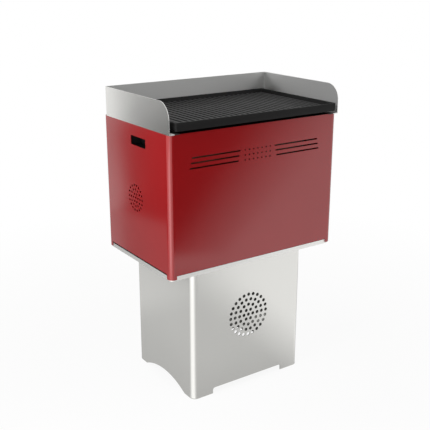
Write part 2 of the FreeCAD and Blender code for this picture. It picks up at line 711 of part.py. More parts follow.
round_off(guard, "rear_bends", d.guard_bend, guard_rear_corner)
round_off(guard, "front_corners", d.guard_corner, guard_front_top)
skin(guard, "sheet", d.guard_sheet, lambda normal: normal.z > TOWARDS or normal.y < -TOWARDS)
guard_window_x = wing_in - d.guard_flange
guard_window_back = guard_back - d.guard_sheet - d.guard_flange
block(guard, "window", both_ways(guard_window_x), (guard_front - PAST, guard_window_back),
      (shell_top - PAST, guard_floor + PAST), cut=True)

guard_screws = new_body("guard_screws")
guard_screw_x = wing_in - d.griddle_side_gap / 2
for side, sign in SIDES:
    for index in (-1, 0, 1):
        seat = (sign * guard_screw_x, d.guard_screw_pitch * index, guard_floor)
        fasten(guard_screws, (guard, frame), f"{side}_{index + 1}", "Z", seat, d.guard_sheet + d.frame_sheet)

for side, sign in SIDES:
    rail = new_body(f"griddle_rail_{side}")
    rail_outer = griddle_end - d.rail_inset
    rail_x = span(sign, rail_outer, rail_outer - d.rail_width)
    block(rail, "bar", rail_x, (griddle_front + d.rail_setback, griddle_back - d.rail_setback),
          (guard_floor, griddle_low))

griddle = new_body("griddle")
block(griddle, "casting", both_ways(griddle_end), (griddle_front, griddle_back), (griddle_low, griddle_top))
round_off(griddle, "corners", d.griddle_corner, upright)
rib_top = griddle_top - d.rib_drop
rib_low = rib_top - d.rib_height
well_x = griddle_end - d.griddle_rim
well_y = (griddle_front + d.griddle_rim, griddle_back - d.griddle_rim)
block(griddle, "well", both_ways(well_x), well_y, (rib_low, griddle_top + PAST), cut=True)
plate_low = rib_low - d.griddle_floor
block(griddle, "underside", both_ways(well_x), well_y, (griddle_low - PAST, plate_low), cut=True)
ribs_x = well_x - d.rib_gutter
first_rib = block(griddle, "rib", (-ribs_x, -ribs_x + d.rib_width),
                  (well_y[0] + d.rib_gutter, well_y[1] - d.rib_gutter), (rib_low, rib_top))
ribs = griddle.newObject("PartDesign::LinearPattern", "ribs")
ribs.Originals = [first_rib]
ribs.Direction = (origin(griddle, "X_Axis"), [""])
bind(ribs, "Length", 2 * ribs_x - d.rib_width)
bind(ribs, "Occurrences", d.rib_count)
griddle.Tip = ribs


# Firebox and burner

for label, x, y in (
    ("firebox_front", both_ways(wall_x), (wall_front, wall_front_in)),
    ("firebox_left", (-wall_x, -wall_in), (wall_front_in, wall_rear_in)),
    ("firebox_right", (wall_in, wall_x), (wall_front_in, wall_rear_in)),
):
    block(new_body(label), "plate", x, y, (base_top, wall_top))

rear_wall = new_body("firebox_rear")
block(rear_wall, "plate", both_ways(wall_x), (wall_rear_in, wall_rear), (base_top, wall_top))
rear_wall_cut = (wall_rear_in - PAST, wall_rear + PAST)
block(rear_wall, "drawer_way", both_ways(drawer_hole), rear_wall_cut,
      (base_top - PAST, drawer_top + d.drawer_clearance), cut=True)
block(rear_wall, "feed_opening", both_ways(d.feed_width / 2), rear_wall_cut,
      (feed_sill, feed_sill + d.feed_height), cut=True)

shelf = new_body("burner_shelf")
block(shelf, "plate", both_ways(wall_in), (wall_front_in, wall_rear_in), (shelf_low, shelf_top))
rod(shelf, "pot_hole", "Z", (0, pot_y, shelf_low - PAST), d.shelf_sheet + 2 * PAST,
    d.pot_radius + d.screw_play, cut=True)

for side, sign in SIDES:
    ledge = new_body(f"shelf_ledge_{side}")
    ledge_y = (wall_front_in, wall_rear_in)
    lying = span(sign, wall_in, wall_in - d.ledge_width)
    standing = span(sign, wall_in, wall_in - d.shelf_sheet)
    block(ledge, "lying_leg", lying, ledge_y, (shelf_low - d.shelf_sheet, shelf_low))
    block(ledge, "standing_leg", standing, ledge_y, (shelf_low - d.ledge_width, shelf_low))

pot = new_body("burn_pot")
rod(pot, "wall", "Z", (0, 0, 0), d.pot_depth + d.pot_sheet, d.pot_radius)
rod(pot, "rim", "Z", (0, 0, d.pot_depth), d.pot_sheet, d.pot_radius + d.pot_rim)
rod(pot, "hollow", "Z", (0, 0, d.pot_sheet), d.pot_depth + PAST, d.pot_radius - d.pot_sheet, cut=True)
pot_axis = (origin(pot, "Z_Axis"), [""])
for index, level in enumerate((d.pot_depth / 4, d.pot_depth * 3 / 4)):
    air = rod(pot, f"air_hole_{index}", "X", (0, 0, level), d.pot_radius + PAST, d.pot_hole / 2, cut=True)
    ring_pattern(pot, f"air_holes_{index}", air, pot_axis, POT_HOLES)
for index, count in GRATE_RINGS:
    ash = rod(pot, f"grate_hole_{index}", "Z", (d.grate_ring * index, 0, -PAST), d.pot_sheet + 2 * PAST,
              d.pot_hole / 2, cut=True)
    ring_pattern(pot, f"grate_holes_{index}", ash, pot_axis, count)
place(pot, (0, pot_y, pot_low))

spreader = new_body("flame_spreader")
spreader_y = (pot_y - d.spreader_width / 2, pot_y + d.spreader_width / 2)
block(spreader, "plate", both_ways(d.spreader_length / 2), spreader_y,
      (spreader_low, spreader_low + d.spreader_sheet))
legs = new_body("spreader_legs")
for side, sign in SIDES:
    for end, y in (("front", spreader_y[0] + d.spreader_inset), ("rear", spreader_y[1] - d.spreader_inset)):
        x = sign * (d.spreader_length / 2 - d.spreader_inset)
        rod(legs, f"{side}_{end}", "Z", (x, y, shelf_top), spreader_low - shelf_top, d.spreader_leg / 2)


# Hopper and feed

for side, sign in SIDES:
    cheek_x = span(sign, hopper_x, hopper_x + d.hopper_sheet)
    block(new_body(f"hopper_cheek_{side}"), "plate", cheek_x, (wall_rear, panel_in),
          (feed_sill - d.cheek_lap, cover_low))
block(new_body("hopper_cover"), "plate", both_ways(hopper_x + d.hopper_sheet),
      (wall_rear, panel_in), (cover_low, cover_low + d.hopper_sheet))
hopper_floor = new_body("hopper_floor")
floor_outline = (
    (wall_rear, feed_sill),
    (panel_in, hopper_sill),
    (panel_in, hopper_sill - d.hopper_sheet),
    (wall_rear, feed_sill - d.hopper_sheet),
)
prism(hopper_floor, "plate", floor_outline, d.hopper_width)

chute = new_body("feed_chute")
chute_end_y = pot_y + d.pot_radius - d.chute_lap
chute_end_z = shelf_top + d.pot_sheet + d.chute_lift + d.hopper_sheet
chute_fall = (feed_sill - chute_end_z) / (wall_rear_in - chute_end_y)
cheeks_outline = (
    (wall_rear_in, feed_sill - d.hopper_sheet),
    (wall_rear_in, feed_sill + d.chute_wall),
    (chute_end_y, chute_end_z + d.chute_wall),
    (chute_end_y, chute_end_z - d.hopper_sheet),
)
prism(chute, "cheeks", cheeks_outline, d.feed_width + 2 * d.hopper_sheet)
chute_drop = chute_fall * PAST
way_outline = (
    (wall_rear_in + PAST, feed_sill + chute_drop),
    (wall_rear_in + PAST, feed_sill + chute_drop + 2 * d.chute_wall),
    (chute_end_y - PAST, chute_end_z - chute_drop + 2 * d.chute_wall),
    (chute_end_y - PAST, chute_end_z - chute_drop),
)
prism(chute, "way", way_outline, d.feed_width, cut=True)


# Ash drawer

ash_tray = new_body("ash_tray")
block(ash_tray, "blank", both_ways(drawer_x), (face_in - d.drawer_length, face_in), (drawer_low, drawer_top))
skin(ash_tray, "sheet", d.drawer_sheet, lambda normal: normal.z > ALONG)

face = new_body("drawer_face")
face_x = drawer_hole + d.face_lap
face_top = drawer_top + d.drawer_clearance + d.face_lap
block(face, "plate", both_ways(face_x), (face_in, face_out), (shell_low, face_top))

pull = new_body("drawer_pull")
pull_x = both_ways(d.pull_width / 2)
pull_top = drawer_top - d.pull_drop
block(pull, "flange", pull_x, (face_out, face_out + d.face_sheet), (pull_top - d.pull_height, pull_top))
block(pull, "lip", pull_x, (face_out, pull_end), (pull_top - d.face_sheet, pull_top))
block(pull, "turned_edge", pull_x, (pull_end - d.face_sheet, pull_end), (pull_top - d.pull_lip, pull_top))

pull_screws = new_body("pull_screws")
for side, sign in SIDES:
    seat = (sign * d.pull_screw_pitch / 2, face_out + d.face_sheet, pull_top - d.pull_screw_drop)
    fasten(pull_screws, (pull, face, ash_tray), side, "Y", seat, 2 * d.face_sheet + d.drawer_sheet)

for side, sign in SIDES:
    runner_x = span(sign, drawer_x, drawer_x - d.runner_width)
    block(new_body(f"drawer_runner_{side}"), "bar", runner_x, (face_in - d.drawer_length, panel_in),
          (base_top, drawer_low))


# Fuel flap and its hinge

hinge_x = d.mouth_width / 2 + d.face_lap
knuckle_step = 2 * hinge_x / KNUCKLES
bore = d.pin_radius + d.pin_clearance


def knuckle(body, index, z):
    """A hinge tube at one of the hinge's steps, with a web to the plate."""
    start = knuckle_step * index - hinge_x + d.knuckle_gap / 2
    length = knuckle_step - d.knuckle_gap
    block(body, f"web_{index}", (start, start + length), (face_in, face_out), z)
    rod(body, f"knuckle_{index}", "X", (start, hinge_y, hinge_z), length, d.knuckle_radius)


hinge_room = d.knuckle_radius + d.knuckle_gap
flap = new_body("fuel_flap")
flap_low = mouth_low - d.face_lap
block(flap, "plate", both_ways(hinge_x), (face_in, face_out), (flap_low, hinge_z - hinge_room))
leaf = new_body("hinge_leaf")
leaf_z = (hinge_z + hinge_room, hinge_z + d.leaf_height)
block(leaf, "plate", both_ways(hinge_x), (panel_out, face_out), leaf_z)
for index in range(KNUCKLES):
    if index % 2:
        knuckle(flap, index, (hinge_z - hinge_room - PAST, hinge_z))
    else:
        knuckle(leaf, index, (hinge_z, hinge_z + hinge_room + PAST))
for body in (flap, leaf):
    rod(body, "bore", "X", (-hinge_x - PAST, hinge_y, hinge_z), 2 * (hinge_x + PAST), bore, cut=True)
rod(new_body("hinge_pin"), "pin", "X", (-hinge_x, hinge_y, hinge_z), 2 * hinge_x, d.pin_radius)

leaf_rivets = new_body("hinge_rivets")
for index in (-1, 0, 1):
    seat = (d.leaf_rivet_pitch * index, face_out, hinge_z + (d.leaf_height + hinge_room) / 2)
    leaf_grip = d.face_gap + d.face_sheet + d.panel_sheet
    fasten(leaf_rivets, (leaf, panel), f"rivet_{index + 1}", "Y", seat, leaf_grip)
knob("flap_knob", 0, flap_low + d.knob_radius + d.face_lap)


# Air shutter and its guides

shutter = new_body("air_shutter")
block(shutter, "plate", both_ways(shutter_x), (face_in, face_out), (air_z - shutter_z, air_z + shutter_z))
air_slots(shutter, (face_in - PAST, face_out + PAST))
knob("shutter_knob", shutter_x - d.shutter_end / 2, air_z)

guide_rivets = new_body("guide_rivets")
guide_x = shutter_x + d.shutter_travel
lip_in = face_out + d.face_gap
lip_out = lip_in + d.guide_sheet
for label, sign in (("shutter_guide_lower", -1), ("shutter_guide_upper", 1)):
    guide = new_body(label)
    edge_z = air_z + sign * (shutter_z + d.face_gap)
    end_z = edge_z + sign * d.guide_width
    lip_z = edge_z - sign * d.guide_grip
    spacer = span(1, edge_z, end_z)
    lip = span(1, lip_z, end_z)
    block(guide, "spacer", both_ways(guide_x), (panel_out, lip_in), spacer)
    block(guide, "lip", both_ways(guide_x), (lip_in, lip_out), lip)
    for index in both_ways(1):
        seat = (index * (guide_x - d.guide_width), lip_out, (edge_z + end_z) / 2)
        fasten(guide_rivets, (guide, panel), f"{label}_{index + 1}", "Y", seat,
               d.guide_sheet + 2 * d.face_gap + d.face_sheet + d.panel_sheet)


# Test every object, then write every sub-part
doc.recompute()
for item in doc.Objects:
    if "Invalid" in item.State or "Error" in item.State:
        raise RuntimeError(f"{item.Name} did not recompute: {item.State}")
bodies = [item for item in doc.Objects if item.TypeId == "PartDesign::Body"]
for body in bodies:
    if body.Shape.isNull() or not body.Shape.isValid() or not body.Shape.Solids:
        raise RuntimeError(f"{body.Label} has no valid solid")
os.makedirs("parts", exist_ok=True)
for body in bodies:
    body.Shape.exportStep(f"parts/{body.Label}.step")
    box = body.Shape.BoundBox
    print(f"{body.Label}: {len(body.Shape.Solids)} solid, {body.Shape.Volume / 1000:.1f} cm3, "
          f"X {box.XMin:.1f} {box.XMax:.1f} Y {box.YMin:.1f} {box.YMax:.1f} Z {box.ZMin:.1f} {box.ZMax:.1f}")
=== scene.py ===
# Portable pellet grill in metres: finishes, griddle, fasteners, knobs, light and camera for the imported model
import json
import math

import bmesh
import bpy
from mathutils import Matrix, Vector


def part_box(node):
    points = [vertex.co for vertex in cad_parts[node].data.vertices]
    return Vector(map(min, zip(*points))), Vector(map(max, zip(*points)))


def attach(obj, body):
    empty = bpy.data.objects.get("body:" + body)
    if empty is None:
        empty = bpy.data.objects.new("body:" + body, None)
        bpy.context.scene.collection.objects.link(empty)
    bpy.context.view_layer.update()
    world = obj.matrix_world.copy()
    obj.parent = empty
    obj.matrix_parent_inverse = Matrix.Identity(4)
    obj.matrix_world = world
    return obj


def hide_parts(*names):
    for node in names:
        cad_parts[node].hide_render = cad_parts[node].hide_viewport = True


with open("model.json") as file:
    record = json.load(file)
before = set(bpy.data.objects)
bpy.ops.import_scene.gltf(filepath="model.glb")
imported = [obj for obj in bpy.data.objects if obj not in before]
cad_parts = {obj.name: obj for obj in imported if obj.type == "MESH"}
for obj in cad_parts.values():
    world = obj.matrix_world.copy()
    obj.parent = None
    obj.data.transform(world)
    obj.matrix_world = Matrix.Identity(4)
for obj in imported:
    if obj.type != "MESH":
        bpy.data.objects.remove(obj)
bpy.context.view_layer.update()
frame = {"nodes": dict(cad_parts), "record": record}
scene = bpy.context.scene
MM = 0.001
TAU = 2 * math.pi


# Node trees, written as Python sums

class Wire:
    """A node's output that takes part in Python sums: each operator adds one Math node."""

    def __init__(self, wiring, socket):
        self.wiring = wiring
        self.socket = socket

    def maths(self, operation, first, second=0.0):
        return self.wiring.node("ShaderNodeMath", {"operation": operation}, {0: first, 1: second})

    def __add__(self, other):
        return self.maths("ADD", self, other)

    def __radd__(self, other):
        return self.maths("ADD", other, self)

    def __sub__(self, other):
        return self.maths("SUBTRACT", self, other)

    def __rsub__(self, other):
        return self.maths("SUBTRACT", other, self)

    def __mul__(self, other):
        return self.maths("MULTIPLY", self, other)

    def __rmul__(self, other):
        return self.maths("MULTIPLY", other, self)

    def __truediv__(self, other):
        return self.maths("DIVIDE", self, other)

    def __rtruediv__(self, other):
        return self.maths("DIVIDE", other, self)

    def sine(self):
        return self.maths("SINE", self)

    def cosine(self):
        return self.maths("COSINE", self)

    def size(self):
        return self.maths("ABSOLUTE", self)

    def angle(self, across):
        return self.maths("ARCTAN2", self, across)

    def at_most(self, limit):
        return self.maths("MINIMUM", self, limit)

    def at_least(self, limit):
        return self.maths("MAXIMUM", self, limit)

    def climb(self, width):
        """From 0 to 1 while this value goes from 0 to the width."""
        return (self / width).at_least(0.0).at_most(1.0)


class Wiring:
    """A node tree that is being wired: a material's, the world's or one of Geometry Nodes."""

    def __init__(self, tree):
        self.tree = tree

    def node(self, kind, settings=None, sockets=None, output=0):
        """Adds a node, with its settings first and then its sockets' values or links."""
        made = self.tree.nodes.new(kind)
        for name, value in (settings or {}).items():
            if name == "stops":
                self.set_stops(made.color_ramp.elements, value)
            else:
                setattr(made, name, value)
        for key, value in (sockets or {}).items():
            wires = value if isinstance(value, list) else [value]
            for wire in wires:
                if isinstance(wire, Wire):
                    self.tree.links.new(wire.socket, made.inputs[key])
                else:
                    made.inputs[key].default_value = wire
        return Wire(self, made.outputs[output]) if made.outputs else None

    def set_stops(self, elements, stops):
        while len(elements) < len(stops):
            elements.new(1.0)
        for element, (position, colour) in zip(elements, stops):
            element.position = position
            element.color = colour

    def axes(self, place):
        """The X, Y and Z of a vector."""
        parts = self.node("ShaderNodeSeparateXYZ", None, {0: place}).socket.node.outputs
        return [Wire(self, part) for part in parts]

    def seen(self):
        """One for what the camera, a reflection or glass shows, and nought for light that falls on things."""
        rays = [self.node("ShaderNodeLightPath", output=f"Is {way} Ray")
                for way in ("Camera", "Glossy", "Transmission")]
        return (rays[0] + rays[1] + rays[2]).at_most(1.0)


class Finish(Wiring):
    """A material under way, with the patterns that its shader is made of."""

    def __init__(self, name):
        self.material = bpy.data.materials.new(name)
        self.material.use_nodes = True
        super().__init__(self.material.node_tree)
        self.tree.nodes.clear()
        self.place = self.node("ShaderNodeTexCoord", output="Object")

    def drawn_out(self, x, y, z):
        """Object coordinates with these scales, for a pattern that is longer one way than another."""
        return self.node("ShaderNodeMapping", None, {"Vector": self.place, "Scale": (x, y, z)})

    def away_from(self, point):
        """The distance from a point."""
        sockets = {0: self.place, 1: point}
        return self.node("ShaderNodeVectorMath", {"operation": "DISTANCE"}, sockets, "Value")

    def noise(self, grain, detail, place=None):
        """Clouds from 0 to 1, each about as wide as the grain."""
        sockets = {"Vector": place or self.place, "Scale": 1 / grain, "Detail": detail}
        return self.node("ShaderNodeTexNoise", None, sockets)

    def mix(self, share, first, second):
        return self.node("ShaderNodeMix", {"data_type": "RGBA"}, {0: share, 6: first, 7: second}, 2)

    def ramp(self, share, stops):
        return self.node("ShaderNodeValToRGB", {"stops": stops}, {"Fac": share})

    def bump(self, height, depth, strength):
        sockets = {"Height": height, "Distance": depth, "Strength": strength}
        return self.node("ShaderNodeBump", None, sockets)

    def surface(self, shader):
        self.node("ShaderNodeOutputMaterial", None, {"Surface": shader})
        return self.material

    def done(self, **looks):
        """Ends in a Principled shader: base_color stands for its socket Base Color, and so on."""
        names = {"specular": "Specular IOR Level", "coat_ior": "Coat IOR"}
        sockets = {names.get(look, look.replace("_", " ").title()): value for look, value in looks.items()}
        return self.surface(self.node("ShaderNodeBsdfPrincipled", None, sockets))

    def glowing(self, **looks):
        """Ends in an Emission shader, whose sockets are color and strength."""
        sockets = {look.title(): value for look, value in looks.items()}
        return self.surface(self.node("ShaderNodeEmission", None, sockets))


def tone(red, green, blue):
    return (red, green, blue, 1.0)


# Finishes

# The griddle's rim and the depth of its well, which its finish follows too
GRIDDLE_RIM = 6 * MM
GRIDDLE_WELL = 13 * MM


def red_powder_coat():
    """Satin red powder coat: a little orange peel and slow clouds in its gloss."""
    finish = Finish("red_powder_coat")
    cloud = finish.noise(140 * MM, detail=3.0)
    peel = finish.noise(2.4 * MM, detail=2.0)
    return finish.done(
        base_color=finish.mix(cloud, tone(0.34, 0.008, 0.010), tone(0.38, 0.010, 0.012)),
        metallic=0.3,
        roughness=0.45,
        specular=0.0,
        coat_weight=0.94 + 0.06 * cloud,
        coat_ior=1.75,
        coat_roughness=0.12,
        normal=finish.bump(peel, depth=0.05 * MM, strength=0.25),
    )


def brush_marks(finish):
    """A brushed sheet's fine level lines and slow clouds, and how both change its tone and roughness."""
    grain = finish.noise(1.0, detail=4.0, place=finish.drawn_out(7, 7, 1500))
    cloud = finish.noise(200 * MM, detail=2.0)
    return grain, cloud, 0.7 * grain + 0.3 * cloud, 0.07 * grain + 0.04 * cloud


def brushed_stainless(name, smooth, dark, pale):
    """Stainless sheet with a level grain, a little uneven in tone from hand to hand."""
    finish = Finish(name)
    grain, _, uneven, rougher = brush_marks(finish)
    return finish.done(
        base_color=finish.mix(uneven, dark, pale),
        metallic=1.0,
        roughness=smooth + rougher,
        normal=finish.bump(grain, depth=0.02 * MM, strength=0.15),
    )


def guard_stainless():
    """The guard's brushed sheet: rougher inside, painted paler on its inner wings as painted light, painted
    darker on its wall as painted shade, and darker on its flange under the griddle.
    """
    finish = Finish("guard_stainless")
    low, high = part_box("splash_guard")
    sheet = 2 * MM
    step = 0.2 * MM
    undarkened_end = 18 * MM
    x, y, z = finish.axes(finish.place)
    inside = (high.x - sheet / 2 - x.size()).climb(step) * (high.y - sheet / 2 - y).climb(step)
    on_wall = (y - (high.y - sheet - 2 * step)).climb(step)
    on_flange = (low.z + sheet + 2 * step - z).climb(step)
    off_wings = (high.x - undarkened_end - x.size()).climb(step)
    grain, cloud, uneven, rougher = brush_marks(finish)
    bright = finish.mix(uneven, tone(0.76, 0.755, 0.73), tone(0.86, 0.855, 0.83))
    # Inside the guard the wings are painted paler as painted light and the wall darker as painted shade
    wing_painted_light = finish.mix(uneven, tone(0.85, 0.85, 0.84), tone(0.94, 0.94, 0.93))
    wall_painted_shade = finish.mix(uneven, tone(0.71, 0.71, 0.70), tone(0.79, 0.79, 0.78))
    # Darker on the flange where the griddle covers it, but not near the wing ends
    flange_dark = finish.mix(cloud, tone(0.08, 0.078, 0.075), tone(0.14, 0.135, 0.13))
    sheet_and_painted_light = finish.mix(inside, bright, finish.mix(on_wall, wing_painted_light, wall_painted_shade))
    return finish.done(
        base_color=finish.mix(inside * on_flange * off_wings, sheet_and_painted_light, flange_dark),
        metallic=1.0,
        roughness=0.12 + rougher + 0.40 * inside,
        # The grain draws reflections out up and down
        anisotropic=1.0,
        anisotropic_rotation=0.25,
        normal=finish.bump(grain, depth=0.02 * MM, strength=0.15),
    )


def seasoned_cast_iron():
    """Sand-cast iron under baked-on oil: nearly black outside, with painted light on its cooking face, which
    is painted paler grey.
    """
    finish = Finish("seasoned_cast_iron")
    low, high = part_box("griddle")
    step = 1 * MM
    edge = GRIDDLE_RIM + step
    under_well = high.z - GRIDDLE_WELL - 2 * step
    x, y, z = finish.axes(finish.place)
    across = (high.x - edge - x.size()).climb(step)
    along = (high.y - edge - y).at_most(y - low.y - edge).climb(step)
    cooking_face = across * along * (z - under_well).climb(step)
    sand = finish.noise(1.1 * MM, detail=3.0)
    pits = finish.noise(4 * MM, detail=2.0)
    oil = finish.noise(60 * MM, detail=4.0)
    seasoned = finish.mix(oil, tone(0.009, 0.009, 0.0095), tone(0.016, 0.0155, 0.015))
    # Painted light: the cooking face is painted paler grey than the sides, as the top catches more light
    painted_top_light = finish.mix(oil, tone(0.044, 0.044, 0.0445), tone(0.056, 0.0555, 0.055))
    return finish.done(
        base_color=finish.mix(cooking_face, seasoned, painted_top_light),
        roughness=0.50 - 0.14 * oil,
        specular=0.13,
        normal=finish.bump(0.7 * sand + 0.3 * pits, depth=0.25 * MM, strength=0.5),
    )


def black_heat_paint():
    """Matt heat-proof black with a fine stipple."""
    finish = Finish("black_heat_paint")
    stipple = finish.noise(0.8 * MM, detail=2.0)
    dust = finish.noise(50 * MM, detail=3.0)
    return finish.done(
        base_color=finish.mix(dust, tone(0.006, 0.006, 0.0065), tone(0.012, 0.0115, 0.011)),
        roughness=0.62 + 0.14 * dust,
        specular=0.2,
        normal=finish.bump(stipple, depth=0.08 * MM, strength=0.4),
    )


def fire_stained_steel():
    """Plain steel that the fire has coloured: black at the burn pot, then blue, brown, straw and grey."""
    finish = Finish("fire_stained_steel")
    low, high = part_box("burn_pot")
    wisps = finish.noise(40 * MM, detail=4.0)
    scale = finish.noise(3 * MM, detail=3.0)
    heat_reach = 0.42
    away = finish.away_from((low + high) / 2)
    tint = finish.ramp(away / heat_reach + 0.35 * (wisps - 0.5), [
        (0.10, tone(0.030, 0.028, 0.030)),
        (0.30, tone(0.060, 0.062, 0.085)),
        (0.48, tone(0.100, 0.075, 0.060)),
        (0.66, tone(0.150, 0.122, 0.090)),
        (0.90, tone(0.120, 0.115, 0.110)),
    ])
    return finish.done(
        base_color=tint,
        metallic=0.85,
        roughness=0.38 + 0.25 * wisps,
        normal=finish.bump(scale, depth=0.06 * MM, strength=0.3),
    )


def zinc_plate():
    """Bright zinc with the faint yellow and blue of its passivation."""
    finish = Finish("zinc_plate")
    bloom = finish.noise(6 * MM, detail=3.0)
    grain = finish.noise(0.7 * MM, detail=2.0)
    return finish.done(
        base_color=finish.mix(bloom, tone(0.55, 0.57, 0.60), tone(0.66, 0.64, 0.56)),
        metallic=1.0,
        roughness=0.26 + 0.16 * bloom,
        normal=finish.bump(grain, depth=0.02 * MM, strength=0.3),
    )


def phenolic():
    """Pressed black resin with a fine grain."""
    finish = Finish("phenolic")
    grain = finish.noise(0.6 * MM, detail=3.0)
    flow = finish.noise(9 * MM, detail=3.0)
    return finish.done(
        base_color=finish.mix(flow, tone(0.014, 0.014, 0.015), tone(0.026, 0.025, 0.024)),
        roughness=0.30 + 0.16 * flow,
        normal=finish.bump(grain, depth=0.03 * MM, strength=0.4),
    )


FINISHES = {
    "red_paint": red_powder_coat(),
    "stainless": brushed_stainless("satin_stainless", smooth=0.15, dark=tone(0.70, 0.695, 0.665),
                                   pale=tone(0.80, 0.795, 0.77)),
    "cast_iron": seasoned_cast_iron(),
    "black_paint": black_heat_paint(),
    "fire_steel": fire_stained_steel(),
    "zinc": zinc_plate(),
    "knob_plastic": phenolic(),
}
NODE_FINISHES = {
    "splash_guard": guard_stainless(),
    "pedestal_tray": brushed_stainless("matt_stainless", smooth=0.4, dark=tone(0.82, 0.815, 0.79),
                                       pale=tone(0.92, 0.915, 0.89)),
}


def dress_nodes():
    """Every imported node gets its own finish, or the finish of its slot."""
    for row in frame["record"]["subparts"]:
        finish = NODE_FINISHES.get(row["node"], FINISHES[row["material_slot"]])
        for place in frame["nodes"][row["node"]].material_slots:
            place.material = finish


# Meshes

class Growth(Wiring):
    """A Geometry Nodes tree with named sizes, which grows a plain mesh from a start mesh."""

    def __init__(self, name, **sizes):
        super().__init__(bpy.data.node_groups.new(name, "GeometryNodeTree"))
        self.sizes = sizes
        sockets = self.tree.interface
        sockets.new_socket("start", in_out="INPUT", socket_type="NodeSocketGeometry")
        sockets.new_socket("finish", in_out="INPUT", socket_type="NodeSocketMaterial")
        for label, value in sizes.items():
            kind = "NodeSocketInt" if isinstance(value, int) else "NodeSocketFloat"
            sockets.new_socket(label, in_out="INPUT", socket_type=kind)
        sockets.new_socket("grown", in_out="OUTPUT", socket_type="NodeSocketGeometry")
        self.entry = self.tree.nodes.new("NodeGroupInput")

    def given(self, label):
        return Wire(self, self.entry.outputs[label])

    def attribute(self, name, kind):
        return self.node("GeometryNodeInputNamedAttribute", {"data_type": kind}, {"Name": name})

    def vector(self, **sides):
        return self.node("ShaderNodeCombineXYZ", None, sides)

    def formed(self, mesh, shape):
        """The mesh with each point moved to shape(x, y, z)."""
        place = self.node("GeometryNodeInputPosition")
        spot = self.vector(**dict(zip("XYZ", shape(*self.axes(place)))))
        return self.node("GeometryNodeSetPosition", None, {"Geometry": mesh, "Position": spot})

    def on_points(self, points, shape, **sockets):
        sockets = {"Points": points, "Instance": shape, **sockets}
        return self.node("GeometryNodeInstanceOnPoints", None, sockets)

    def close(self, *shapes):
        joined = self.node("GeometryNodeJoinGeometry", None, {"Geometry": list(shapes)})
        real = self.node("GeometryNodeRealizeInstances", None, {"Geometry": joined})
        sockets = {"Geometry": real, "Material": self.given("finish")}
        self.node("NodeGroupOutput", None, {"grown": self.node("GeometryNodeSetMaterial", None, sockets)})

    def grow(self, start, finish):
        seed = bpy.data.objects.new("seed", start)
        scene.collection.objects.link(seed)
        modifier = seed.modifiers.new("growth", "NODES")
        modifier.node_group = self.tree
        values = {"finish": finish, **self.sizes}
        for socket in self.tree.interface.items_tree:
            if socket.in_out == "INPUT" and socket.name in values:
                modifier[socket.identifier] = values[socket.name]
        return settled(seed)


def settled(seed):
    """The plain mesh of an object with its modifiers, which then goes."""
    graph = bpy.context.evaluated_depsgraph_get()
    mesh = bpy.data.meshes.new_from_object(seed.evaluated_get(graph), depsgraph=graph)
    bpy.data.objects.remove(seed)
    return mesh


def piece(name, mesh, body, slot, *nodes, crease=35):
    """A finished piece on its body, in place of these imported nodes."""
    mesh.name = name
    mesh.materials.clear()
    mesh.materials.append(FINISHES[slot])
    mesh.shade_smooth()
    mesh.set_sharp_from_angle(angle=math.radians(crease))
    made = bpy.data.objects.new(name, mesh)
    scene.collection.objects.link(made)
    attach(made, body)
    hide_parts(*nodes)


# Screws and rivets

BACK = Vector((0, 1, 0))
UP = Vector((0, 0, 1))
HEAD_RADIUS = 4 * MM
HEAD_RISE = 2.6 * MM
SHANK_RADIUS = 2 * MM
SOCKET_WIDTH = 2.5 * MM


def solids_in(node):
    """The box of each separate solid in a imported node, from the lowest corner up."""
    weld = 0.001 * MM
    cells = bmesh.new()
    cells.from_mesh(frame["nodes"][node].data)
    bmesh.ops.remove_doubles(cells, verts=cells.verts, dist=weld)
    left = set(cells.verts)
    boxes = []
    while left:
        reached = [left.pop()]
        for vert in reached:
            for edge in vert.link_edges:
                other = edge.other_vert(vert)
                if other in left:
                    left.remove(other)
                    reached.append(other)
        sides = list(zip(*(vert.co for vert in reached)))
        boxes.append((Vector(map(min, sides)), Vector(map(max, sides))))
    cells.free()
    return sorted(boxes, key=lambda box: [round(side, 5) for side in box[0]])


def fastener_points(groups):
    """A point at each fastener's seat, with the way that its head faces and the length of its shank."""
    spots = []
    ways = []
    shanks = []
    for node, way in groups:
        for low, high in solids_in(node):
            middle = (low + high) / 2
            length = abs((high - low).dot(way))
            top = middle + way * length / 2
            spots.append(top - way * HEAD_RISE)
            ways.append(way)
            shanks.append(length - HEAD_RISE)
    mesh = bpy.data.meshes.new("fastener_points")
    mesh.from_pydata(spots, [], [])
    facing = mesh.attributes.new("facing", "FLOAT_VECTOR", "POINT")
    facing.data.foreach_set("vector", [side for way in ways for side in way])
    shank = mesh.attributes.new("shank", "FLOAT", "POINT")
    shank.data.foreach_set("value", shanks)
    return mesh


